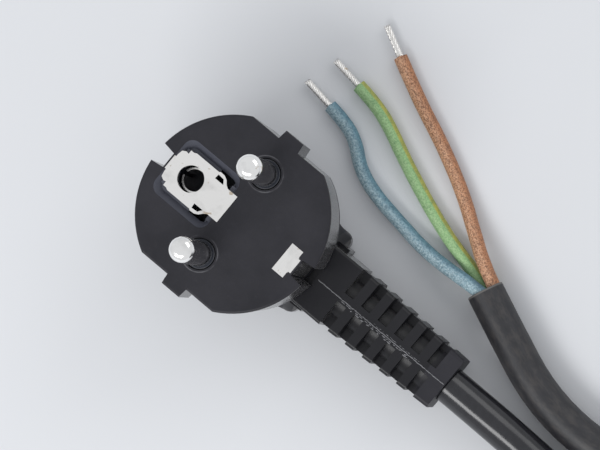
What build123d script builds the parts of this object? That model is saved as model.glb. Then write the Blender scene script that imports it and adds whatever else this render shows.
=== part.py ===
"""Angled mains plug with its lead, for round recessed sockets with side clips or an earth pin.

Millimetres. The plug lies on its back: +Z is the way the pins point, +X is the way the lead
leaves, and the two pins stand side by side along Y. The origin is under the middle of the pin
face, on the surface that the back of the plug rests on. The lead runs out of view to a neat
coil and comes back to its stripped end beside the plug.
"""
import os
from math import radians, tan

from build123d import *

# Pins and pin face
FACE_Z = 32.0
PIN_DIAMETER = 4.8
PIN_LENGTH = 19.0
PIN_SPACING = 19.0
PIN_TIP_ROUND = 1.7
FACE_DIAMETER = 36.7
FACE_FLATS = 32.4
SKIRT_DEPTH = 17.8
SKIRT_DRAFT = 0.95
FLAT_DRAFT = 0.3
RIM_ROUND = 0.4
TAB_ROOT_WIDTH = 4.8
TAB_TIP_WIDTH = 4.1
TAB_REACH = 18.15
TAB_DEPTH = 9.5
TAB_DRAFT = 0.25
PIN_UNDERCUT = 0.5
PIN_UNDERCUT_HEIGHT = 0.3
PIN_FLANGE_RISE = 4.0
PIN_FLANGE_THICKNESS = 1.5
PIN_FLANGE_STEP = 0.8
PIN_SEAT_STEP = 0.6
BOSS_WALL = 0.35
BOSS_DROP = 0.25
SLOT_OUTER_HALF = 2.15
EARTH_SIDE_SLOT_HALF = 1.6
LEAD_SIDE_SLOT_HALF = 1.75

# Earth parts
EARTH_OFFSET = 10.1
EARTH_HOLE_DIAMETER = 5.1
SLEEVE_BORE = 4.2
SLEEVE_WALL = 0.35
STRIP_THICKNESS = 0.8
SIDE_CONTACT_WIDTH = 3.0
SIDE_CONTACT_X = 15.6
END_PLATE_X = 12.1
END_PLATE_OUTER_X = 14.7
TONGUE_WIDTH = 3.0
STRAP_THICKNESS = 0.5
STRAP_WIDTH = 2.4
STRAP_DROP = 0.6
SLIT_WIDTH = 0.8
BED_WIDTH = 8.0
WELL_START_X = -6.9
WELL_END_X = -3.4
WELL_SIDE_Y = 4.9
WELL_DEPTH = 6.0
TOWER_WALL = 1.0

# Grip behind the skirt
BACK_LENGTH = 32.2
BACK_WIDTH = 19.1
BACK_SHIFT = 0.5
BACK_HEIGHT = 3.5
BACK_ROUND = 1.5

# Neck and strain relief, round the axis of the lead
AXIS_Z = 7.5
NECK_START_X = 8.0
NECK_WIDTH = 13.4
NECK_HEIGHT = 13.0
NECK_ROUND = 0.6
NECK_ROOT_WIDTH = 14.9
NECK_ROOT_HEIGHT = 7.0
NECK_ROOT_END_X = 17.9
NECK_END_X = 22.9
RELIEF_END_X = 48.4
RELIEF_END_WIDTH = 11.3
RELIEF_END_HEIGHT = 10.9
RELIEF_ROUND = 0.8
POCKETS = 6
POCKET_PITCH = 4.03
POCKET_LENGTH = 2.1
RELIEF_WEB = 2.1
RELIEF_RAIL = 3.2
RAIL_INSET = 0.3
SHEATH_COVER = 0.9

# Lead
SHEATH_DIAMETER = 7.2
CORE_DIAMETER = 2.7
CORE_GAP = 0.2
STRANDS_DIAMETER = 1.35
STRIPPED_LENGTH = 6.7
SHEATH_END_X = 20.5
CORE_TURN_X = 14.5
CORE_RISE = 3.2

# Coil of the lead, three layers of two turns
COIL_CENTRE = (140.5, 4.0)
COIL_MIDDLE_RADIUS = 36.0
COIL_TURNS_WIDE = 2
COIL_TURNS_HIGH = 3
COIL_CORNER_CUT = 2.4
TIE_WIDTH = 5.0
TIE_THICKNESS = 0.6

# Routes of the lead, on a surface at height 0
PLUG_SIDE_ROUTE = [
    (48.4, 0.0, 7.5), (57.4, 0.0, 7.5), (66.5, -0.3, 5.6), (80.4, -0.9, 3.6),
    (93.4, -5.6, 3.6), (104.2, -14.2, 3.6), (113.4, -23.4, 3.6),
]
FREE_SIDE_ROUTE = [
    (42.0, 17.8, 3.6), (50.0, 14.3, 3.6), (63.2, 8.9, 3.6), (77.6, 8.0, 3.6),
    (91.5, 11.9, 4.6), (103.2, 19.8, 7.4), (111.2, 30.2, 11.2),
]
BROWN_ROUTE = [
    (45.2, 18.4, 4.4), (38.9, 21.3, 4.2), (33.5, 24.8, 2.5), (26.5, 29.4, 1.35),
    (17.5, 34.0, 1.35), (8.3, 37.8, 1.35), (0.7, 41.7, 1.35),
]
GREEN_YELLOW_ROUTE = [
    (44.9, 17.2, 2.0), (38.4, 19.0, 1.9), (31.2, 20.6, 1.35), (23.9, 23.0, 1.35),
    (14.1, 27.0, 1.35), (7.5, 30.2, 1.35), (2.5, 31.8, 1.35), (-2.0, 32.4, 1.35),
]
BLUE_ROUTE = [
    (45.6, 16.9, 4.8), (39.6, 17.0, 4.8), (33.8, 16.4, 3.2), (27.6, 16.3, 1.6),
    (21.4, 17.2, 1.35), (14.0, 18.3, 1.35), (8.5, 20.3, 1.35), (4.6, 23.6, 1.35),
    (0.8, 25.3, 1.35), (-3.8, 25.9, 1.35),
]

# Sizes that follow from those above
PIN_R = PIN_DIAMETER / 2
PIN_Y = PIN_SPACING / 2
PIN_WALL_Z = FACE_Z + PIN_UNDERCUT_HEIGHT
FACE_R = FACE_DIAMETER / 2
SHEATH_R = SHEATH_DIAMETER / 2
CORE_R = CORE_DIAMETER / 2
STRANDS_R = STRANDS_DIAMETER / 2
SKIRT_FOOT_Z = FACE_Z - SKIRT_DEPTH
CARRIER_TOP_Z = FACE_Z - 1.4
CARRIER_FOOT_Z = FACE_Z - 12.0
CARRIER_R = SIDE_CONTACT_X - STRIP_THICKNESS - 0.6
CARRIER_WIDTH = 26.6
BARREL_FOOT_Z = SKIRT_FOOT_Z + 0.3
BARREL_BORE_TOP_Z = CARRIER_FOOT_Z - 1.4
BARREL_R = 1.9
EARTH_BARREL_X = 5.0
PLATE_TOP_Z = FACE_Z + 0.15
PLATE_FOOT_Z = PLATE_TOP_Z - STRIP_THICKNESS
BRIDGE_Z = FACE_Z - 3.4
PLATE_INNER_X = -1.25
STRIP_HALF_WIDTH = 3.0
SLEEVE_FOOT_Z = FACE_Z - 15.5
SLEEVE_TOP_Z = FACE_Z - 3.8
SLEEVE_R = SLEEVE_BORE / 2 + SLEEVE_WALL
SLEEVE_ROOM_R = SLEEVE_R + 0.45
SIDE_CONTACT_FOOT_Z = SKIRT_FOOT_Z + 2.2


def block(x0, x1, y0, y1, z0, z1):
    """A box between two corners."""
    middle = ((x0 + x1) / 2, (y0 + y1) / 2, (z0 + z1) / 2)
    return Pos(*middle) * Box(x1 - x0, y1 - y0, z1 - z0)


def rod(x, y, z0, z1, radius):
    """An upright cylinder."""
    return Pos(x, y, (z0 + z1) / 2) * Cylinder(radius, z1 - z0)


def prism(points, z0, z1):
    """An upright prism over a closed outline."""
    return extrude(Pos(0, 0, z0) * make_face(Polyline(*points, close=True)), z1 - z0)


def mirrored(half_outline):
    """A closed outline from its half on the +Y side."""
    return half_outline + [(x, -y) for x, y in reversed(half_outline)]


def upright_section(x, width, height, rounding):
    """A rounded rectangle across the axis of the lead."""
    plane = Plane(origin=(x, 0, AXIS_Z), x_dir=(0, 1, 0), z_dir=(1, 0, 0))
    return plane * RectangleRounded(width, height, rounding)


def level_section(z, length, width, rounding, x=0.0):
    """A rounded rectangle in a level plane."""
    return Pos(x, 0, z) * RectangleRounded(length, width, rounding)


def cut_rectangle(width, height, cut):
    """A rectangle with its corners cut off."""
    x, y = width / 2, height / 2
    half = [(x, y - cut), (x - cut, y), (cut - x, y), (-x, y - cut)]
    return make_face(Polyline(*half, *[(-px, -py) for px, py in half], close=True))


# Routes as tubes


def bend_radii(route):
    """The largest radius that each corner's two runs leave room for."""
    radii = []
    for before, corner, after in zip(route, route[1:], route[2:]):
        run_in = Vector(*corner) - Vector(*before)
        run_out = Vector(*after) - Vector(*corner)
        half_turn = radians(run_in.get_angle(run_out)) / 2
        radii.append(0.45 * min(run_in.length, run_out.length) / tan(half_turn))
    return radii


def tube(name, route, radius):
    """A round tube along straight runs joined by arcs."""
    radii = bend_radii(route)
    path = FilletPolyline(*route, radius=radii)
    solid = sweep(Plane(origin=path @ 0, z_dir=path % 0) * Circle(radius), path=path)
    whole = path.length * Circle(radius).area
    print(name, "radii", [round(value, 1) for value in radii], "length", round(path.length, 1))
    print(name, "volume against section times length", round(solid.volume / whole, 4))
    return solid


def round_bar(start, end, radius):
    """A straight round bar between two points."""
    axis = Vector(*end) - Vector(*start)
    return extrude(Plane(origin=start, z_dir=axis) * Circle(radius), axis.length)


# Metal parts


def contact_pin(side):
    """Turned pin: rounded tip, stem with a flange in the carrier, and a hollow crimp barrel."""
    flange_z = CARRIER_FOOT_Z + PIN_FLANGE_RISE
    shank = rod(0, 0, PIN_WALL_Z, FACE_Z + PIN_LENGTH, PIN_R)
    shank = fillet(shank.edges().sort_by(Axis.Z)[-1], PIN_TIP_ROUND)
    stem = rod(0, 0, CARRIER_FOOT_Z, PIN_WALL_Z, PIN_R - PIN_UNDERCUT)
    flange = rod(0, 0, flange_z, flange_z + PIN_FLANGE_THICKNESS, PIN_R + PIN_FLANGE_STEP)
    barrel = rod(0, 0, BARREL_FOOT_Z, CARRIER_FOOT_Z, BARREL_R)
    bore = rod(0, 0, BARREL_FOOT_Z, BARREL_BORE_TOP_Z, STRANDS_R)
    return Pos(0, side * PIN_Y, 0) * (shank + stem + flange + barrel - bore)


def plate_outline():
    """Half outline of the earth plate, with its three teeth and the bow before the fold."""
    teeth = [
        (-14.9, 1.5), (-14.9, 2.0), (-14.7, 3.0), (-14.0, 3.4),
        (-13.4, 3.3), (-13.4, 4.1), (-12.7, 4.1), (-12.2, 4.35),
    ]
    bow = [(-6.8, 4.35), (-6.6, 4.55), (-5.6, 4.5), (-4.8, 4.1), (-4.2, 3.4), (-3.6, STRIP_HALF_WIDTH)]
    return teeth + bow + [(PLATE_INNER_X, STRIP_HALF_WIDTH)]


def side_contact(side):
    """Leg of the strip down one side of the face, bent over at its top."""
    outer = side * SIDE_CONTACT_X
    inner = outer - side * STRIP_THICKNESS
    reach = inner - side * STRIP_THICKNESS
    half = SIDE_CONTACT_WIDTH / 2
    low, high = sorted((outer, reach))
    leg = block(low, high, -half, half, SIDE_CONTACT_FOOT_Z, PLATE_TOP_Z)
    corner = leg.edges().filter_by(Axis.Y).group_by(Axis.Z)[-1]
    leg = fillet(corner.sort_by(Axis.X)[-1 if side > 0 else 0], STRIP_THICKNESS)
    low, high = sorted((reach, inner))
    return leg - block(low, high, -half, half, SIDE_CONTACT_FOOT_Z, PLATE_FOOT_Z)


def earth_strip():
    """One bent strip: side contact, plate with the pin hole, bridge, end plate, side contact."""
    half = STRIP_HALF_WIDTH
    plate = prism(mirrored(plate_outline()), PLATE_FOOT_Z, PLATE_TOP_Z)
    plate -= rod(-EARTH_OFFSET, 0, PLATE_FOOT_Z, PLATE_TOP_Z, EARTH_HOLE_DIAMETER / 2)
    for side in (1, -1):
        window = [(-6.7, side * 3.0), (-6.6, side * 3.95), (-5.3, side * 3.85), (-4.7, side * 3.0)]
        plate -= prism(window, PLATE_FOOT_Z, PLATE_TOP_Z)
    stem_half = SIDE_CONTACT_WIDTH / 2 + 0.25
    end_outline = [
        (END_PLATE_X, half), (END_PLATE_OUTER_X, half),
        (END_PLATE_OUTER_X, stem_half), (SIDE_CONTACT_X - STRIP_THICKNESS, stem_half),
    ]
    strip = plate + prism(mirrored(end_outline), PLATE_FOOT_Z, PLATE_TOP_Z)
    fold_x = PLATE_INNER_X - STRIP_THICKNESS
    rise_x = END_PLATE_X + STRIP_THICKNESS
    strip += block(fold_x, PLATE_INNER_X, -half, half, BRIDGE_Z - STRIP_THICKNESS, PLATE_FOOT_Z)
    strip += block(END_PLATE_X, rise_x, -half, half, BRIDGE_Z - STRIP_THICKNESS, PLATE_FOOT_Z)
    strip += block(fold_x, rise_x, -half, half, BRIDGE_Z - STRIP_THICKNESS, BRIDGE_Z)
    strip += side_contact(1) + side_contact(-1)
    tongue_x0 = EARTH_BARREL_X - STRIP_THICKNESS / 2
    tongue_x1 = EARTH_BARREL_X + STRIP_THICKNESS / 2
    half = TONGUE_WIDTH / 2
    strip += block(tongue_x0, tongue_x1, -half, half, CARRIER_FOOT_Z, BRIDGE_Z - STRIP_THICKNESS)
    strip += rod(EARTH_BARREL_X, 0, BARREL_FOOT_Z, CARRIER_FOOT_Z, BARREL_R)
    return strip - rod(EARTH_BARREL_X, 0, BARREL_FOOT_Z, BARREL_BORE_TOP_Z, STRANDS_R)


def earth_socket():
    """Slit spring sleeve for an earth pin, with the strap that carries it under the plate."""
    sleeve = rod(-EARTH_OFFSET, 0, SLEEVE_FOOT_Z, SLEEVE_TOP_Z, SLEEVE_R)
    strap_x = -EARTH_OFFSET + SLEEVE_R + 0.1
    outer_x = strap_x + STRAP_THICKNESS
    half = STRAP_WIDTH / 2
    strap_z = SLEEVE_TOP_Z - STRAP_DROP
    strap = block(-EARTH_OFFSET, outer_x, -half, half, strap_z, SLEEVE_TOP_Z)
    strap += block(strap_x, outer_x, -half, half, strap_z, PLATE_FOOT_Z)
    bore = rod(-EARTH_OFFSET, 0, SLEEVE_FOOT_Z, SLEEVE_TOP_Z, SLEEVE_BORE / 2)
    slit_x = -EARTH_OFFSET - SLEEVE_R
    half = SLIT_WIDTH / 2
    slit = block(slit_x, slit_x + 2 * SLEEVE_WALL, -half, half, SLEEVE_FOOT_Z, SLEEVE_TOP_Z)
    return sleeve + strap - bore - slit


# Moulded parts


def carrier_blank():
    """The insert that holds all metal parts, before its holes: disc, bosses, bed and tower."""
    outline = Circle(CARRIER_R) & Rectangle(2 * CARRIER_R, CARRIER_WIDTH)
    height = CARRIER_TOP_Z - CARRIER_FOOT_Z
    blank = extrude(Pos(0, 0, CARRIER_FOOT_Z) * outline, height)
    for side in (1, -1):
        blank += rod(0, side * PIN_Y, CARRIER_TOP_Z, FACE_Z - BOSS_DROP, PIN_R + BOSS_WALL)
    half = BED_WIDTH / 2
    blank += block(-CARRIER_R, PLATE_INNER_X, -half, half, CARRIER_TOP_Z, PLATE_FOOT_Z)
    tower_z, tower_r = SLEEVE_FOOT_Z - TOWER_WALL, SLEEVE_ROOM_R + TOWER_WALL
    blank += rod(-EARTH_OFFSET, 0, tower_z, CARRIER_FOOT_Z, tower_r)
    channel = block(
        PLATE_INNER_X, END_PLATE_X,
        -STRIP_HALF_WIDTH, STRIP_HALF_WIDTH, BRIDGE_Z, PLATE_TOP_Z,
    )
    return blank - channel


def contact_carrier(blank, metal_parts):
    """The insert with the room round the earth sleeve, its two wells and the metal's seats."""
    carrier = blank - rod(-EARTH_OFFSET, 0, SLEEVE_FOOT_Z, PLATE_FOOT_Z, SLEEVE_ROOM_R)
    for side in (1, -1):
        low, high = sorted((side * STRIP_HALF_WIDTH, side * WELL_SIDE_Y))
        well_z = CARRIER_TOP_Z - WELL_DEPTH
        carrier -= block(WELL_START_X, WELL_END_X, low, high, well_z, PLATE_FOOT_Z)
    for metal in metal_parts:
        carrier -= metal
    return carrier


def face_section(z, radius, half_flats):
    return Pos(0, 0, z) * (Circle(radius) & Rectangle(2 * radius, 2 * half_flats))


def tab_section(z, side, reach):
    root = side * (FACE_FLATS / 2 - 1.0)
    tip = side * reach
    half_root, half_tip = TAB_ROOT_WIDTH / 2, TAB_TIP_WIDTH / 2
    outline = [(-half_root, root), (-half_tip, tip), (half_tip, tip), (half_root, root)]
    return Pos(0, 0, z) * make_face(Polyline(*outline, close=True))


def key_tab(side):
    """Short tab on a flat, flush with the pin face."""
    tab = loft([
        tab_section(FACE_Z - TAB_DEPTH, side, TAB_REACH - TAB_DRAFT),
        tab_section(FACE_Z, side, TAB_REACH),
    ])
    top_edges = tab.edges().group_by(Axis.Z)[-1]
    return fillet(top_edges.sort_by(Axis.Y)[-1 if side > 0 else 0], RIM_ROUND)


def skirt():
    """The round part that enters the socket: two flats, their key tabs, and two clip slots."""
    half_flats = FACE_FLATS / 2
    shape = loft([
        face_section(SKIRT_FOOT_Z, FACE_R - SKIRT_DRAFT, half_flats - FLAT_DRAFT),
        face_section(FACE_Z, FACE_R, half_flats),
    ])
    shape = fillet(shape.edges().group_by(Axis.Z)[-1], RIM_ROUND)
    return shape + key_tab(1) + key_tab(-1)


def clip_slot(side, inner_half):
    """Room for one earth clip of the socket, wider towards the outside."""
    inner_x = side * SIDE_CONTACT_X
    outer_x = side * (FACE_R + 1.0)
    half_outline = [(inner_x, inner_half), (outer_x, SLOT_OUTER_HALF)]
    return prism(mirrored(half_outline), SKIRT_FOOT_Z, FACE_Z)


def rear_body():
    """The grip behind the skirt, drawn in to the flat back that the plug lies on."""
    back = level_section(BACK_HEIGHT, BACK_LENGTH, BACK_WIDTH, 2.0, x=BACK_SHIFT)
    flank = loft([
        back,
        level_section(7.5, 31.4, 21.5, 6.0, x=BACK_SHIFT / 2),
        level_section(11.0, 31.6, 26.0, 10.5),
        level_section(SKIRT_FOOT_Z, 33.6, 30.6, 14.6),
    ])
    foot = extrude(Pos(0, 0, -BACK_HEIGHT) * back, BACK_HEIGHT)
    foot = fillet(foot.edges().group_by(Axis.Z)[0], BACK_ROUND)
    return foot + flank


def neck():
    """The square neck, with a wider foot where it leaves the grip."""
    section = upright_section(NECK_START_X, NECK_WIDTH, NECK_HEIGHT, NECK_ROUND)
    half = NECK_ROOT_WIDTH / 2
    low_z = AXIS_Z - NECK_HEIGHT / 2
    root = block(NECK_START_X, NECK_ROOT_END_X, -half, half, low_z, low_z + NECK_ROOT_HEIGHT)
    return extrude(section, NECK_END_X - NECK_START_X) + root


def relief_width(x):
    share = (x - NECK_END_X) / (RELIEF_END_X - NECK_END_X)
    return NECK_WIDTH + share * (RELIEF_END_WIDTH - NECK_WIDTH)


def relief_pockets(x):
    """The four pockets of one row, round the core, the webs and the side rails."""
    plane = Plane(origin=(x, 0, AXIS_Z), x_dir=(0, 1, 0), z_dir=(1, 0, 0))
    around = Rectangle(NECK_WIDTH + 2, NECK_HEIGHT + 2)
    kept = Circle(SHEATH_R + SHEATH_COVER) + Rectangle(RELIEF_WEB, NECK_HEIGHT + 2)
    kept += Rectangle(relief_width(x) - 2 * RAIL_INSET, RELIEF_RAIL)
    return extrude(plane * (around - kept), POCKET_LENGTH)


def strain_relief():
    """Tapered relief with six rows of pockets, which let it bend with the lead."""
    shape = loft([
        upright_section(NECK_END_X, NECK_WIDTH, NECK_HEIGHT, RELIEF_ROUND),
        upright_section(RELIEF_END_X, RELIEF_END_WIDTH, RELIEF_END_HEIGHT, RELIEF_ROUND),
    ], ruled=True)
    for row in range(POCKETS):
        shape -= relief_pockets(NECK_END_X + row * POCKET_PITCH)
    return shape


def plate_recess():
    """The recess round the earth plate, with sloping sides."""
    return loft([
        level_section(CARRIER_TOP_Z, 11.0, 9.8, 1.2, x=-8.5),
        level_section(FACE_Z, 12.9, 12.4, 2.0, x=-8.75),
    ], ruled=True)


def moulded_body(inner_parts):
    """The soft outer moulding, cast round everything inside it."""
    body = skirt() + rear_body() + neck() + strain_relief()
    body -= clip_slot(-1, EARTH_SIDE_SLOT_HALF)
    body -= clip_slot(1, LEAD_SIDE_SLOT_HALF)
    body -= plate_recess()
    for side in (1, -1):
        body -= rod(0, side * PIN_Y, CARRIER_TOP_Z, FACE_Z, PIN_R + PIN_SEAT_STEP)
    for inner in inner_parts:
        body -= inner
    return body


# Lead inside the plug


def core_inside(name, start, turn_off, barrel):
    """One insulated core from the sheath's end to its crimp barrel."""
    x, y = barrel
    corner_z = AXIS_Z + CORE_RISE
    route = [start, turn_off, (x, y, corner_z), (x, y, BARREL_FOOT_Z)]
    return tube(name, route, CORE_R)


def strands_inside(x, y):
    return rod(x, y, BARREL_FOOT_Z, BARREL_BORE_TOP_Z, STRANDS_R)


# Lead outside the plug


def coil_solid():
    """Outer shape of the coil's turns."""
    width = COIL_TURNS_WIDE * SHEATH_DIAMETER
    height = COIL_TURNS_HIGH * SHEATH_DIAMETER + TIE_THICKNESS
    section = Pos(COIL_MIDDLE_RADIUS, height / 2) * cut_rectangle(width, height, COIL_CORNER_CUT)
    return Pos(*COIL_CENTRE, 0) * revolve(Plane.XZ * section, Axis.Z)


def coil_tie():
    """Flat band round the turns, on the side away from the plug."""
    width = COIL_TURNS_WIDE * SHEATH_DIAMETER
    height = COIL_TURNS_HIGH * SHEATH_DIAMETER
    middle_z = height / 2 + TIE_THICKNESS
    both = 2 * TIE_THICKNESS
    outer = cut_rectangle(width + both, height + both, COIL_CORNER_CUT + 0.6 * TIE_THICKNESS)
    inner = cut_rectangle(width, height, COIL_CORNER_CUT)
    plane = Plane(
        origin=(COIL_CENTRE[0] + COIL_MIDDLE_RADIUS, COIL_CENTRE[1] - TIE_WIDTH / 2, middle_z),
        x_dir=(1, 0, 0), z_dir=(0, 1, 0),
    )
    return extrude(plane * (outer - inner), TIE_WIDTH)


def bare_end(route):
    """The tinned strands that stand out of a core, in line with its last run."""
    before, end = Vector(*route[-2]), Vector(*route[-1])
    tip = end + (end - before).normalized() * STRIPPED_LENGTH
    return round_bar(end, tip, STRANDS_R)


def main():
    parts = {}
    parts["line_pin"] = contact_pin(1)
    parts["neutral_pin"] = contact_pin(-1)
    parts["earth_strip"] = earth_strip()
    parts["earth_socket"] = earth_socket()
    blank = carrier_blank()
    parts["contact_carrier"] = contact_carrier(blank, list(parts.values()))

    core_apart = CORE_DIAMETER + CORE_GAP
    core_rise = core_apart / 3 ** 0.5
    for name, side in (("line", 1), ("neutral", -1)):
        start = (SHEATH_END_X, side * core_apart / 2, AXIS_Z + core_rise / 2)
        turn_off = (CORE_TURN_X, side * core_apart / 2, AXIS_Z + core_rise / 2)
        barrel = (0.0, side * PIN_Y)
        parts[f"{name}_core_inside"] = core_inside(name, start, turn_off, barrel)
        parts[f"{name}_strands_inside"] = strands_inside(*barrel)
    low_z = AXIS_Z - core_rise
    earth_route = [
        (SHEATH_END_X, 0, low_z), (EARTH_BARREL_X, 0, low_z),
        (EARTH_BARREL_X, 0, BARREL_FOOT_Z),
    ]
    parts["earth_core_inside"] = tube("earth", earth_route, CORE_R)
    parts["earth_strands_inside"] = strands_inside(EARTH_BARREL_X, 0)
    sheath_start = (SHEATH_END_X, 0, AXIS_Z)
    parts["sheath_in_relief"] = round_bar(sheath_start, PLUG_SIDE_ROUTE[0], SHEATH_R)

    inner_parts = [blank] + [part for name, part in parts.items() if name != "contact_carrier"]
    parts["moulded_body"] = moulded_body(inner_parts)

    tie = coil_tie()
    coil = coil_solid() - tie
    free_side = tube("free_side", FREE_SIDE_ROUTE, SHEATH_R)
    parts["cord_plug_side"] = tube("plug_side", PLUG_SIDE_ROUTE, SHEATH_R) - coil
    parts["cord_free_side"] = free_side - coil
    parts["cord_coil"] = coil
    parts["coil_tie"] = tie
    routes = {"brown": BROWN_ROUTE, "green_yellow": GREEN_YELLOW_ROUTE, "blue": BLUE_ROUTE}
    for name, route in routes.items():
        parts[f"{name}_core"] = tube(name, route, CORE_R) - free_side
        parts[f"{name}_bare_end"] = bare_end(route)

    os.makedirs("parts", exist_ok=True)
    for name, part in parts.items():
        export_step(part, f"parts/{name}.step")


main()
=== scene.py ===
from math import cos, pi, sin, tau

import bmesh
import bpy
from mathutils import Matrix, Vector, noise


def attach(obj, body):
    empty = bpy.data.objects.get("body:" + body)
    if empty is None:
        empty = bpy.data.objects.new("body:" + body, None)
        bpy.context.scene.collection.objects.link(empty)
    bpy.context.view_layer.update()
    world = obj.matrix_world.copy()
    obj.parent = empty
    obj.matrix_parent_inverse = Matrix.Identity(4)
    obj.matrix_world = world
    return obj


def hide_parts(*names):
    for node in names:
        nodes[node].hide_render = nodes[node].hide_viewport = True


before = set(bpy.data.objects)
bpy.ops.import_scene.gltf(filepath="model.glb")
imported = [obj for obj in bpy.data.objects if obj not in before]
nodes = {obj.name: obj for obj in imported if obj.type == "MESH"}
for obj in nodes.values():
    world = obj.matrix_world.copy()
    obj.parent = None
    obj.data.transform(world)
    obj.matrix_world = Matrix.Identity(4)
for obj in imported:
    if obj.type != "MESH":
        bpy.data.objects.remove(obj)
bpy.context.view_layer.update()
MM = 0.001

# Camera, as the photograph's viewpoint was found
CAMERA_AT = (0.10547, 0.04251, 0.6511)
CAMERA_RIGHT = (0.75756, 0.63468, -0.15259)
CAMERA_UP = (-0.63515, 0.77063, 0.05201)
CAMERA_LENS = 205.85
SENSOR_WIDTH = 36.0

# Lead: radii and routes in millimetres, the same as the solids follow
SHEATH_R = 3.6
SHEATH_SIDES = 28
SHEATH_POINTS_PER_STEP = 5
CORE_R = 1.35
CORE_SIDES = 20
CORE_POINTS_PER_STEP = 10
CORE_UNEVENNESS = 0.05
SWELLS_PER_METRE = 300
PLUG_SIDE_ROUTE = [
    (48.4, 0.0, 7.5), (57.4, 0.0, 7.5), (66.5, -0.3, 5.6), (80.4, -0.9, 3.6),
    (93.4, -5.6, 3.6), (104.2, -14.2, 3.6), (113.4, -23.4, 3.6),
]
FREE_SIDE_ROUTE = [
    (42.0, 17.8, 3.6), (50.0, 14.3, 3.6), (63.2, 8.9, 3.6), (77.6, 8.0, 3.6),
    (91.5, 11.9, 4.6), (103.2, 19.8, 7.4), (111.2, 30.2, 11.2),
]
BROWN_ROUTE = [
    (45.2, 18.4, 4.4), (38.9, 21.3, 4.2), (33.5, 24.8, 2.5), (26.5, 29.4, 1.35),
    (17.5, 34.0, 1.35), (8.3, 37.8, 1.35), (0.7, 41.7, 1.35),
]
GREEN_YELLOW_ROUTE = [
    (44.9, 17.2, 2.0), (38.4, 19.0, 1.9), (31.2, 20.6, 1.35), (23.9, 23.0, 1.35),
    (14.1, 27.0, 1.35), (7.5, 30.2, 1.35), (2.5, 31.8, 1.35), (-2.0, 32.4, 1.35),
]
BLUE_ROUTE = [
    (45.6, 16.9, 4.8), (39.6, 17.0, 4.8), (33.8, 16.4, 3.2), (27.6, 16.3, 1.6),
    (21.4, 17.2, 1.35), (14.0, 18.3, 1.35), (8.5, 20.3, 1.35), (4.6, 23.6, 1.35),
    (0.8, 25.3, 1.35), (-3.8, 25.9, 1.35),
]

# Coil: the order in which its turns fill two columns and three layers, as (column, layer). Round
# the change angle they open by a share of their thickness, over the reach, and change places
COIL_CENTRE = (141.2, 4.0)
COIL_MIDDLE_RADIUS = 35.3
COIL_FIRST_ANGLE = 245.0
COIL_LAST_ANGLE = 117.0
COIL_LOW_Z = 4.2
COIL_STEPS_PER_TURN = 18
COIL_PLACES = [(1, 0), (-1, 0), (-1, 1), (-1, 2), (1, 2), (1, 1)]
COIL_CHANGE_ANGLE = 140.0
COIL_CHANGE_SPAN = 150.0
COIL_OPENING = 0.45
COIL_OPENING_REACH = 140.0

# Bare ends: strands in a layer and the layer's radius, from the middle outwards. Each strand is
# shorter than the bare length by a part of STRAND_SHORTER, which STRAND_SCATTER makes look random
BARE_LENGTH = 6.7
STRAND_R = 0.215
STRAND_SIDES = 8
STRAND_STEPS = 20
STRAND_PITCH = 6.5
STRAND_SHORTER = 0.3
STRAND_SCATTER = 2.3
STRAND_LAYERS = [(1, 0.0), (7, 0.45)]

# Side of the cores that is painted paler, in turns round the core: a painted highlight on the lit side,
# over real talc
PAINTED_LIGHT_SIDE = 0.14

# Recess round the earth plate, with painted reflection on its walls and floor, and rings of painted
# light over the shaded gaps round the pins
RECESS_X = -8.75
RECESS_HALF = (6.6, 6.3)
RECESS_Z = (30.5, 31.97)
PIN_Y = 9.5
RINGS_R = [(2.62, 2.80), (3.28, 3.50)]
RECESS_PAINTED_LIGHT_TONE = (0.078, 0.082, 0.104)
RECESS_PAINTED_LIGHT_SHARE = 0.85
PIN_RING_PAINTED_LIGHT_TONE = (0.115, 0.115, 0.125)

# Shiny walls: the skirt round the face, and the sides of the neck, painted paler with a painted
# reflection of the bright floor
SKIRT_R = 15.8
SKIRT_Z = (15.5, 31.9)
NECK_X = (16.0, 22.95)
NECK_Z = (2.0, 13.7)
WALL_PAINTED_SHEEN_TONE = (0.100, 0.097, 0.097)
WALL_PAINTED_SHEEN_SHARE = 0.55
SHINY_ROUGHNESS = 0.13

# Neck and relief: darker and shinier than the face
RELIEF_X = (14.5, 44.0)
RELIEF_Z = (0.0, 14.4)
RELIEF_TONE = (0.005, 0.005, 0.0065)
RELIEF_SHARE = 0.75
RELIEF_ROUGHNESS = 0.36

# Mould's parting ridges on the neck and relief: y, first x, last x, width, height and steadiness,
# where 1 keeps much of its height and 0 comes and goes
RIDGES = [
    (-0.30, 17.6, 48.2, 0.24, 0.20, 1.0),
    (-0.62, 23.5, 39.5, 0.24, 0.16, 0.1),
    (-0.92, 26.0, 44.5, 0.26, 0.18, 0.0),
    (0.02, 30.0, 42.0, 0.18, 0.12, 0.1),
]
RIDGE_STEP = 0.35
RIDGE_FOOT = 0.06
RIDGE_SUNK = 0.02
RIDGE_SWAY = 0.12
RIDGE_SWAYS_PER_MM = 1.3
RIDGE_NOTCHES_PER_MM = 2.9
RIDGE_SEED_STEP = 7.0
RIDGE_NOTCH_SEED = 5.0
RIDGE_WIDTH_CHANGE = 0.6
RIDGE_HEIGHT_CHANGE = 2.6
RIDGE_LEAST_HEIGHT = 0.2
ABOVE_NECK_Z = 20.0

# Materials: depths of the bumps in metres, and colours
GRAIN = 0.00006
SCRATCH_DEPTH = 0.00004
MOTTLE_DEPTH = 0.00012
TALC_DEPTH = 0.00006
STREAK_DEPTH = 0.00008
MOULDING_SPECULAR = 0.33
TAN_SPOT_TONE = (0.50, 0.38, 0.24)
SHEATH_DARK = (0.012, 0.012, 0.015)
SHEATH_PALE = (0.028, 0.028, 0.033)
SHEATH_DUST_TONE = (0.033, 0.030, 0.030)
SHEATH_RIM_TONE = (0.16, 0.15, 0.14)
SHEATH_SPECULAR = 0.55
SHEATH_ROUGHNESS = 0.17
SHEATH_DUST_ROUGHNESS = 0.36

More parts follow.
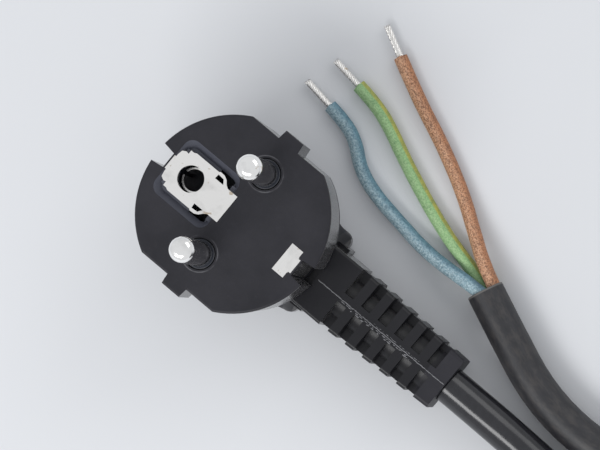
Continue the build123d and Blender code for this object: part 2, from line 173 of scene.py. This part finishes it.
# Floor, lamps and world. Both lamps look at LAMP_TARGET
FLOOR_HALF = 1.5
FLOOR_Z = -0.0001
FLOOR_TONES = [(0.66, 0.67, 0.69), (0.69, 0.70, 0.72)]
LAMP_TARGET = (0.03, 0.0, 0.02)
KEY_AT = (0.11, -0.47, 0.54)
KEY_SIZE = (0.55, 0.24)
KEY_WATTS = 2.8
FILL_AT = (0.10, 0.62, 0.50)
FILL_SIZE = (0.45, 0.40)
FILL_WATTS = 0.8
WORLD_TONE = (0.95, 0.97, 1.0)
WORLD_STRENGTH = 0.74


def smooth_step(value):
    value = min(max(value, 0.0), 1.0)
    return value * value * (3 - 2 * value)


def coil_points():
    """Control points of the coil's turns. Opposite the tie the turns open a little and change places."""
    whole = COIL_LAST_ANGLE + 360 * len(COIL_PLACES) - COIL_FIRST_ANGLE
    count = round(whole / 360 * COIL_STEPS_PER_TURN)
    # The spline runs inside a ring of control points by this much, so the ring is larger
    shrink = 0.75 + 0.25 * cos(tau / COIL_STEPS_PER_TURN)
    points = []
    for step in range(count + 1):
        angle = COIL_FIRST_ANGLE + whole * step / count
        turns = (angle - COIL_CHANGE_ANGLE) / 360
        change = min(max(round(turns), 1), len(COIL_PLACES) - 1)
        past = (turns - change) * 360
        blend = smooth_step(past / COIL_CHANGE_SPAN + 0.5)
        before = COIL_PLACES[change - 1]
        after = COIL_PLACES[change]
        column = before[0] + (after[0] - before[0]) * blend
        layer = before[1] + (after[1] - before[1]) * blend
        near = 0.5 + 0.5 * cos(pi * min(abs(past) / COIL_OPENING_REACH, 1.0))
        spacing = 2 * SHEATH_R * (1 + COIL_OPENING * near)
        radius = (COIL_MIDDLE_RADIUS + column * spacing / 2) / shrink
        turned = angle * pi / 180
        points.append((
            COIL_CENTRE[0] + radius * cos(turned),
            COIL_CENTRE[1] + radius * sin(turned),
            COIL_LOW_Z + layer * spacing,
        ))
    return points


# Camera


def make_camera():
    data = bpy.data.cameras.new("camera")
    data.lens = CAMERA_LENS
    data.sensor_width = SENSOR_WIDTH
    data.sensor_fit = "HORIZONTAL"
    data.clip_start = 0.01
    camera = bpy.data.objects.new("camera", data)
    right, up = Vector(CAMERA_RIGHT).normalized(), Vector(CAMERA_UP).normalized()
    back = right.cross(up)
    turn = Matrix((right, up, back)).transposed().to_4x4()
    camera.matrix_world = Matrix.Translation(CAMERA_AT) @ turn
    bpy.context.scene.collection.objects.link(camera)
    bpy.context.scene.camera = camera


# Tubes and lines


def smooth_line(route, points_per_step):
    """Points along the NURBS spline whose control points are the route."""
    curve = bpy.data.curves.new("line", "CURVE")
    curve.dimensions = "3D"
    curve.resolution_u = points_per_step
    spline = curve.splines.new("NURBS")
    spline.points.add(len(route) - 1)
    for point, place in zip(spline.points, route):
        point.co = (*(value * MM for value in place), 1)
    spline.order_u = 3
    spline.use_endpoint_u = True
    holder = bpy.data.objects.new("line", curve)
    mesh = bpy.data.meshes.new_from_object(holder)
    line = [vertex.co.copy() for vertex in mesh.vertices]
    bpy.data.objects.remove(holder)
    bpy.data.curves.remove(curve)
    bpy.data.meshes.remove(mesh)
    return line


def frames_along(line):
    """Place, direction, and two side directions that don't twist, at each point of a line."""
    found = []
    side = None
    for index, place in enumerate(line):
        ahead = (line[min(index + 1, len(line) - 1)] - line[max(index - 1, 0)]).normalized()
        if side is None:
            side = Vector((0, 0, 1)).cross(ahead).normalized()
        side = (side - ahead * side.dot(ahead)).normalized()
        found.append((place, ahead, side, ahead.cross(side)))
    return found


def new_piece(name, mesh, material, smooth=True):
    """Put a mesh in the scene with its material."""
    piece = bpy.data.objects.new(name, mesh)
    bpy.context.scene.collection.objects.link(piece)
    mesh.materials.append(material)
    if smooth:
        mesh.polygons.foreach_set("use_smooth", [True] * len(mesh.polygons))
    return piece


def add_tube(work, line, radius, sides):
    """Add a closed tube to a bmesh. Its UV map runs once round the tube, and in metres along it."""
    around = work.loops.layers.uv.get("around") or work.loops.layers.uv.new("around")
    rings = []
    lengths = []
    gone = 0.0
    for index, (place, ahead, side, up) in enumerate(frames_along(line)):
        if index:
            gone += (place - line[index - 1]).length
        lengths.append(gone)
        ring = []
        for step in range(sides):
            angle = tau * step / sides
            out = side * cos(angle) + up * sin(angle)
            ring.append(work.verts.new(place + out * radius(gone, angle)))
        rings.append(ring)
    for index in range(len(rings) - 1):
        for step in range(sides):
            after = (step + 1) % sides
            face = work.faces.new((
                rings[index][step], rings[index][after], rings[index + 1][after], rings[index + 1][step],
            ))
            corners = ((step, index), (step + 1, index), (step + 1, index + 1), (step, index + 1))
            for loop, (turn, ring) in zip(face.loops, corners):
                loop[around].uv = (turn / sides, lengths[ring])
    work.faces.new(list(reversed(rings[0])))
    work.faces.new(rings[-1])


def piece_from(work, name, material, smooth=True):
    """Close a bmesh and make it a piece."""
    bmesh.ops.recalc_face_normals(work, faces=work.faces)
    mesh = bpy.data.meshes.new(name)
    work.to_mesh(mesh)
    work.free()
    return new_piece(name, mesh, material, smooth)


def close_ended(line):
    """The line with one more point near each end, so that the shading of the end caps stays there."""
    near = 0.05
    after_first = line[0].lerp(line[1], near)
    before_last = line[-1].lerp(line[-2], near)
    return [line[0], after_first, *line[1:-1], before_last, line[-1]]


def tube(name, line, radius, sides, material):
    work = bmesh.new()
    add_tube(work, close_ended(line), radius, sides)
    return piece_from(work, name, material)


def line_length(line):
    return sum((after - before).length for before, after in zip(line, line[1:]))


# Materials


class Nodes:
    """Short ways to add and link shader nodes."""

    def __init__(self, name):
        self.material = bpy.data.materials.new(name)
        self.material.use_nodes = True
        self.tree = self.material.node_tree
        self.shader = self.tree.nodes["Principled BSDF"]

    def add(self, kind, inputs=None, **settings):
        node = self.tree.nodes.new(kind)
        for key, value in settings.items():
            setattr(node, key, value)
        for key, value in (inputs or {}).items():
            if isinstance(value, bpy.types.NodeSocket):
                self.tree.links.new(value, node.inputs[key])
            else:
                node.inputs[key].default_value = value
        return node

    def put(self, **inputs):
        """Set the shader's inputs, to values or to links."""
        for key, value in inputs.items():
            socket = self.shader.inputs[key.replace("_", " ")]
            if isinstance(value, bpy.types.NodeSocket):
                self.tree.links.new(value, socket)
            else:
                socket.default_value = value

    def place(self):
        return self.add("ShaderNodeTexCoord").outputs["Object"]

    def axes(self, vector):
        return self.add("ShaderNodeSeparateXYZ", {"Vector": vector}).outputs[:]

    def upright(self):
        """1 on walls, 0 on faces that look up."""
        normal = self.add("ShaderNodeTexCoord").outputs["Normal"]
        return self.ramp(self.axes(normal)[2], [(0.35, 1.0), (0.65, 0.0)])

    def distance(self, first, second):
        squares = [self.math("MULTIPLY", value, value) for value in (first, second)]
        return self.math("SQRT", self.math("ADD", *squares))

    def between(self, value, low, high):
        """1 where a value in metres is between two values in millimetres."""
        above = self.math("GREATER_THAN", value, low * MM)
        below = self.math("LESS_THAN", value, high * MM)
        return self.math("MULTIPLY", above, below)

    def stretched(self, vector, scale):
        return self.add("ShaderNodeMapping", {"Vector": vector, "Scale": scale}).outputs[0]

    def noise(self, vector, scale, detail=4.0, roughness=0.55):
        inputs = {"Vector": vector, "Scale": scale, "Detail": detail, "Roughness": roughness}
        return self.add("ShaderNodeTexNoise", inputs).outputs[0]

    def ramp(self, value, stops):
        """A grey ramp, from stops of a place and a shade."""
        node = self.add("ShaderNodeValToRGB", {"Fac": value})
        elements = node.color_ramp.elements
        while len(elements) < len(stops):
            elements.new(0.5)
        for element, (place, shade) in zip(elements, stops):
            element.position = place
            element.color = (shade, shade, shade, 1)
        return node.outputs[0]

    def mix(self, share, first, second):
        """Two colours mixed. Inputs 0, 6 and 7 of the node are its share and its two colours."""
        node = self.add("ShaderNodeMix", data_type="RGBA")
        for key, value in ((0, share), (6, first), (7, second)):
            if isinstance(value, bpy.types.NodeSocket):
                self.tree.links.new(value, node.inputs[key])
            elif isinstance(value, tuple):
                node.inputs[key].default_value = (*value, 1)
            else:
                node.inputs[key].default_value = value
        return node.outputs[2]

    def math(self, operation, first, second=0.0):
        return self.add("ShaderNodeMath", {0: first, 1: second}, operation=operation).outputs[0]

    def bump(self, height, strength, distance, normal=None):
        inputs = {"Height": height, "Strength": strength, "Distance": distance}
        if normal is not None:
            inputs["Normal"] = normal
        return self.add("ShaderNodeBump", inputs).outputs[0]


def recess_and_ring_painted_light(make, place, tone):
    """Painted light: paler floor and walls in the recess round the earth plate, a painted reflection,
    and pale edges round each pin, painted over the shade in the gaps there.
    """
    x, y, z = make.axes(place)
    inside = make.math(
        "MULTIPLY",
        make.between(x, RECESS_X - RECESS_HALF[0], RECESS_X + RECESS_HALF[0]),
        make.between(y, -RECESS_HALF[1], RECESS_HALF[1]),
    )
    inside = make.math("MULTIPLY", inside, make.between(z, *RECESS_Z))
    # Painted reflection: the recess is painted paler where its sloping walls and floor catch light
    tone = make.mix(make.math("MULTIPLY", inside, RECESS_PAINTED_LIGHT_SHARE), tone, RECESS_PAINTED_LIGHT_TONE)
    from_pin = make.math("SUBTRACT", make.math("ABSOLUTE", y), PIN_Y * MM)
    distance = make.distance(x, from_pin)
    # Painted light: pale rings over the shaded gaps round each pin, broken up by noise
    wear_and_painted_light = make.ramp(make.noise(place, 260.0, 3.0), [(0.40, 0.0), (0.62, 0.7)])
    for low, high in RINGS_R:
        ring = make.between(distance, low, high)
        tone = make.mix(make.math("MULTIPLY", ring, wear_and_painted_light), tone, PIN_RING_PAINTED_LIGHT_TONE)
    return tone


def gloss_and_painted_sheen_walls(make, place):
    """1 on the wall round the face and on the sides of the neck, 0 elsewhere. The walls get a painted
    sheen there, and their gloss.
    """
    x, y, z = make.axes(place)
    outside = make.math("GREATER_THAN", make.distance(x, y), SKIRT_R * MM)
    skirt = make.math("MULTIPLY", outside, make.between(z, *SKIRT_Z))
    neck = make.math("MULTIPLY", make.between(x, *NECK_X), make.between(z, *NECK_Z))
    return make.math("MULTIPLY", make.math("MAXIMUM", skirt, neck), make.upright())


def moulding(name, dark, pale, roughness, plug=False):
    """Moulded plastic: fine grain, handling marks, a little pale dust. The plug has tints of its own:
    painted light in the recess and round the pins, a painted sheen on its walls, and a darker relief.
    """
    make = Nodes(name)
    place = make.place()
    cloud = make.noise(place, 90.0, 5.0)
    dust = make.noise(make.stretched(place, (1.0, 1.0, 0.4)), 900.0, 6.0, 0.7)
    specks = make.noise(place, 4200.0, 2.0)
    tone = make.mix(make.ramp(cloud, [(0.35, 0.0), (0.7, 0.6)]), dark, pale)
    tone = make.mix(make.ramp(dust, [(0.52, 0.0), (0.8, 0.35)]), tone, pale)
    rough = make.ramp(cloud, [(0.3, roughness - 0.06), (0.75, roughness + 0.1)])
    if plug:
        tone = recess_and_ring_painted_light(make, place, tone)
        x, y, z = make.axes(place)
        relief = make.math("MULTIPLY", make.between(x, *RELIEF_X), make.between(z, *RELIEF_Z))
        tone = make.mix(make.math("MULTIPLY", relief, RELIEF_SHARE), tone, RELIEF_TONE)
        rough = make.mix(relief, rough, (RELIEF_ROUGHNESS,) * 3)
        gloss_and_painted_sheen = gloss_and_painted_sheen_walls(make, place)
        # Painted reflection: the walls are painted paler, as if they mirrored the bright floor
        tone = make.mix(make.math("MULTIPLY", gloss_and_painted_sheen, WALL_PAINTED_SHEEN_SHARE), tone, WALL_PAINTED_SHEEN_TONE)
        rough = make.mix(gloss_and_painted_sheen, rough, (SHINY_ROUGHNESS,) * 3)
    normal = make.bump(specks, 0.2, GRAIN)
    normal = make.bump(dust, 0.2, GRAIN * 2, normal)
    make.put(Base_Color=tone, Roughness=rough, Normal=normal, Specular_IOR_Level=MOULDING_SPECULAR)
    return make.material


def plated(name, tint, roughness, brushed=(1.0, 1.0, 1.0)):
    """Plated metal with fine scratches, faint darker wear and a few tan spots."""
    make = Nodes(name)
    place = make.place()
    wear = make.noise(place, 300.0, 5.0)
    scratches = make.noise(make.stretched(place, brushed), 2500.0, 3.0, 0.6)
    spots = make.noise(place, 520.0, 2.0)
    wear_and_painted_light = tuple(value * 0.75 for value in tint)
    tone = make.mix(make.ramp(wear, [(0.5, 0.0), (0.8, 0.7)]), tint, wear_and_painted_light)
    tone = make.mix(make.ramp(spots, [(0.66, 0.0), (0.72, 0.7)]), tone, TAN_SPOT_TONE)
    rough = make.ramp(scratches, [(0.3, roughness - 0.06), (0.7, roughness + 0.1)])
    normal = make.bump(scratches, 0.15, SCRATCH_DEPTH)
    make.put(Base_Color=tone, Roughness=rough, Metallic=1.0, Normal=normal)
    return make.material


def sheath_material(total):
    """Black cable sheath: glossy, but dusty with drawn streaks and a pale rim at the stripped end."""
    make = Nodes("sheath")
    place = make.place()
    uv = make.add("ShaderNodeUVMap", uv_map="around").outputs[0]
    streaks = make.noise(make.stretched(uv, (22.0, 330.0, 1.0)), 1.0, 6.0, 0.65)
    dust = make.noise(place, 700.0, 6.0, 0.65)
    left = make.math("SUBTRACT", total, make.axes(uv)[1])
    # Dusty up to 30 mm from the stripped end and not from 110 mm on, with a rim about 0.3 mm wide
    near_end = make.ramp(make.math("MULTIPLY", left, 5.0), [(0.15, 1.0), (0.55, 0.0)])
    rim = make.ramp(make.math("MULTIPLY", left, 1000.0), [(0.25, 1.0), (0.45, 0.0)])
    dusty = make.math("MULTIPLY", make.ramp(streaks, [(0.46, 0.0), (0.62, 1.0)]), near_end)
    tone = make.mix(make.ramp(dust, [(0.4, 0.0), (0.8, 0.5)]), SHEATH_DARK, SHEATH_PALE)
    tone = make.mix(dusty, tone, SHEATH_DUST_TONE)
    tone = make.mix(make.math("MULTIPLY", rim, 0.7), tone, SHEATH_RIM_TONE)
    rough = make.math("ADD", make.math("MULTIPLY", near_end, SHEATH_DUST_ROUGHNESS), SHEATH_ROUGHNESS)
    normal = make.bump(streaks, 0.2, STREAK_DEPTH)
    make.put(Base_Color=tone, Roughness=rough, Normal=normal, Specular_IOR_Level=SHEATH_SPECULAR)
    return make.material


def insulation(name, base, pale, dark, talc_and_painted_light_share, pit_share, stripe=None, stripe_turn=0.0):
    """Old core insulation: mottled, with dark pits and pale talc, and a painted highlight: the talc is
    painted paler and thicker along the side that the light falls on.

    The stripe runs along the core at stripe_turn, in turns round it.
    """
    make = Nodes(name)
    place = make.place()
    uv = make.add("ShaderNodeUVMap", uv_map="around").outputs[0]
    tone = base
    if stripe:
        from_stripe = make.math("ADD", make.axes(uv)[0], 0.25 - stripe_turn)
        wave = make.math("SINE", make.math("MULTIPLY", from_stripe, tau))
        tone = make.mix(make.ramp(wave, [(0.50, 0.0), (0.58, 1.0)]), base, stripe)
    mottle = make.noise(place, 700.0, 6.0, 0.65)
    talc = make.noise(place, 2800.0, 6.0, 0.7)
    pits = make.noise(place, 3900.0, 3.0, 0.6)
    # Painted highlight: the pale talc shows more on one side, the side the light falls on
    from_painted_light_side = make.math("SUBTRACT", make.axes(uv)[0], PAINTED_LIGHT_SIDE)
    wave = make.math("COSINE", make.math("MULTIPLY", from_painted_light_side, tau))
    painted_light_side_share = make.ramp(wave, [(0.2, 0.25), (0.8, 1.0)])
    tone = make.mix(make.ramp(mottle, [(0.35, 0.5), (0.55, 0.0)]), tone, dark)
    speckled = make.ramp(talc, [(0.36, talc_and_painted_light_share * 0.2), (0.62, talc_and_painted_light_share)])
    tone = make.mix(make.math("MULTIPLY", speckled, painted_light_side_share), tone, pale)
    tone = make.mix(make.ramp(pits, [(0.43, pit_share), (0.50, 0.0)]), tone, dark)
    rough = make.ramp(talc, [(0.4, 0.42), (0.7, 0.8)])
    normal = make.bump(mottle, 0.5, MOTTLE_DEPTH)
    normal = make.bump(talc, 0.4, TALC_DEPTH, normal)
    make.put(Base_Color=tone, Roughness=rough, Normal=normal)
    return make.material


# Lead


def even(radius):
    """The same radius all along a tube."""
    return lambda gone, angle: radius * MM


def uneven(radius, change):
    """A radius that swells and shrinks a little along the tube and round it."""
    def at(gone, angle):
        swell = noise.noise(Vector((gone * SWELLS_PER_METRE, cos(angle), sin(angle))))
        return (radius + change * swell) * MM
    return at


def make_sheath():
    route = PLUG_SIDE_ROUTE + coil_points() + list(reversed(FREE_SIDE_ROUTE))
    line = smooth_line(route, SHEATH_POINTS_PER_STEP)
    material = sheath_material(line_length(line))
    piece = tube("sheath_line", line, even(SHEATH_R), SHEATH_SIDES, material)
    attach(piece, "root")
    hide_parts("cord_plug_side", "cord_coil", "cord_free_side")
    return material


def make_strands(name, start, ahead, metal):
    """Bare end of a core: strands twisted round one in the middle, of slightly different lengths."""
    side = Vector((0, 0, 1)).cross(ahead).normalized()
    up = ahead.cross(side)
    work = bmesh.new()
    for count, layer_radius in STRAND_LAYERS:
        for index in range(count):
            length = BARE_LENGTH - STRAND_SHORTER * abs(sin(index * STRAND_SCATTER))
            line = []
            for step in range(STRAND_STEPS + 1):
                gone = length * step / STRAND_STEPS
                angle = tau * (index / count + gone / STRAND_PITCH)
                across = (side * cos(angle) + up * sin(angle)) * layer_radius
                line.append(start + (ahead * gone + across) * MM)
            add_tube(work, line, even(STRAND_R), STRAND_SIDES)
    piece = piece_from(work, f"{name}_strands_line", metal)
    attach(piece, "root")
    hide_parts(f"{name}_bare_end")
    return piece


def make_core(name, route, material, metal):
    line = smooth_line(route, CORE_POINTS_PER_STEP)
    core = tube(f"{name}_core_line", line, uneven(CORE_R, CORE_UNEVENNESS), CORE_SIDES, material)
    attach(core, "root")
    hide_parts(f"{name}_core")
    strands = make_strands(name, line[-1], (line[-1] - line[-2]).normalized(), metal)


def make_ridges(body, material):
    """Ragged ridges that the mould's parting line left on top of the neck and the relief."""
    graph = bpy.context.evaluated_depsgraph_get()
    work = bmesh.new()
    for seed, (ridge_y, first_x, last_x, width, height, steady) in enumerate(RIDGES):
        count = round((last_x - first_x) / RIDGE_STEP)
        sections = []
        for step in range(count + 1):
            x = first_x + (last_x - first_x) * step / count
            row = seed * RIDGE_SEED_STEP
            ragged = noise.noise(Vector((x * RIDGE_SWAYS_PER_MM, row, 0.0)))
            notched = noise.noise(Vector((x * RIDGE_NOTCHES_PER_MM, row, RIDGE_NOTCH_SEED)))
            y = ridge_y + RIDGE_SWAY * ragged
            above = Vector((x * MM, y * MM, ABOVE_NECK_Z * MM))
            top = body.ray_cast(above, Vector((0, 0, -1)), depsgraph=graph)[1].z / MM
            half = width / 2 * (1 + RIDGE_WIDTH_CHANGE * notched)
            change = steady + (RIDGE_HEIGHT_CHANGE - steady) * notched
            crest = top - RIDGE_SUNK + height * max(steady * RIDGE_LEAST_HEIGHT, change)
            foot = top - RIDGE_FOOT
            corners = ((y - half, foot), (y, crest), (y + half, foot))
            sections.append([work.verts.new(Vector((x, *corner)) * MM) for corner in corners])
        for before, after in zip(sections, sections[1:]):
            for index in range(3):
                following = (index + 1) % 3
                work.faces.new((before[index], before[following], after[following], after[index]))
        work.faces.new(sections[0])
        work.faces.new(sections[-1])
    piece = piece_from(work, "parting_ridges", material, smooth=False)
    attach(piece, "root")


make_camera()

BODY = moulding("body_moulding", (0.010, 0.0098, 0.014), (0.027, 0.026, 0.033), 0.5, plug=True)
CARRIER = moulding("carrier_moulding", (0.018, 0.021, 0.030), (0.040, 0.045, 0.060), 0.42, plug=True)
# The ridges' pale tones are a painted highlight: the light that catches their thin crests
RIDGE_PAINTED_HIGHLIGHT = moulding("parting_ridge_painted_highlight", (0.20, 0.20, 0.21), (0.38, 0.38, 0.40), 0.35)
PIN_METAL = plated("plated_pin", (0.97, 0.96, 0.94), 0.12)
STRIP_METAL = plated("plated_strip", (0.97, 0.95, 0.92), 0.16, (1.0, 6.0, 1.0))
STRANDS = plated("tinned_strands", (0.88, 0.86, 0.83), 0.25)
BROWN = insulation(
    "brown_insulation", base=(0.42, 0.165, 0.065), pale=(0.80, 0.53, 0.36), dark=(0.12, 0.045, 0.020),
    talc_and_painted_light_share=0.68, pit_share=0.75,
)
GREEN_YELLOW = insulation(
    "green_yellow_insulation", base=(0.22, 0.44, 0.17), pale=(0.48, 0.64, 0.36), dark=(0.07, 0.18, 0.07),
    talc_and_painted_light_share=0.7, pit_share=0.35, stripe=(0.45, 0.42, 0.06), stripe_turn=0.50,
)
BLUE = insulation(
    "blue_insulation", base=(0.09, 0.22, 0.30), pale=(0.50, 0.63, 0.66), dark=(0.02, 0.07, 0.11),
    talc_and_painted_light_share=0.9, pit_share=0.45,
)
TIE = moulding("tie_band", (0.02, 0.02, 0.02), (0.06, 0.06, 0.06), 0.7)

SHEATH = make_sheath()
make_core("brown", BROWN_ROUTE, BROWN, STRANDS)
make_core("green_yellow", GREEN_YELLOW_ROUTE, GREEN_YELLOW, STRANDS)
make_core("blue", BLUE_ROUTE, BLUE, STRANDS)
make_ridges(nodes["moulded_body"], RIDGE_PAINTED_HIGHLIGHT)

CAD_MATERIALS = {
    "moulded_body": BODY,
    "contact_carrier": CARRIER,
    "line_pin": PIN_METAL,
    "neutral_pin": PIN_METAL,
    "earth_strip": STRIP_METAL,
    "earth_socket": STRIP_METAL,
    "line_core_inside": BROWN,
    "neutral_core_inside": BLUE,
    "earth_core_inside": GREEN_YELLOW,
    "sheath_in_relief": SHEATH,
    "coil_tie": TIE,
}
# The nodes that aren't listed are strands inside the plug, and cords that a piece above replaces
for node, piece in nodes.items():
    piece.data.materials.clear()
    piece.data.materials.append(CAD_MATERIALS.get(node, STRANDS))


# Floor and light


def stage_plane():
    mesh = bpy.data.meshes.new("floor")
    signs = [(-1, -1), (1, -1), (1, 1), (-1, 1)]
    corners = [(across * FLOOR_HALF, along * FLOOR_HALF, 0) for across, along in signs]
    mesh.from_pydata(corners, [], [(0, 1, 2, 3)])
    make = Nodes("floor")
    tone = make.mix(make.noise(make.place(), 6.0), *FLOOR_TONES)
    make.put(Base_Color=tone, Roughness=0.9, Specular_IOR_Level=0.1)
    floor = new_piece("floor", mesh, make.material, smooth=False)
    floor.location.z = FLOOR_Z


def area_light(name, place, size, watts):
    data = bpy.data.lights.new(name, "AREA")
    data.shape = "RECTANGLE"
    data.size, data.size_y = size
    data.energy = watts
    lamp = bpy.data.objects.new(name, data)
    lamp.location = place
    towards = Vector(LAMP_TARGET) - Vector(place)
    lamp.rotation_euler = towards.to_track_quat("-Z", "Y").to_euler()
    bpy.context.scene.collection.objects.link(lamp)


def make_world():
    world = bpy.data.worlds.new("studio")
    world.use_nodes = True
    background = world.node_tree.nodes["Background"]
    background.inputs["Color"].default_value = (*WORLD_TONE, 1)
    background.inputs["Strength"].default_value = WORLD_STRENGTH
    bpy.context.scene.world = world


stage_plane()
make_world()
area_light("key", KEY_AT, KEY_SIZE, KEY_WATTS)
area_light("fill", FILL_AT, FILL_SIZE, FILL_WATTS)
bpy.context.scene.view_settings.view_transform = "Standard"
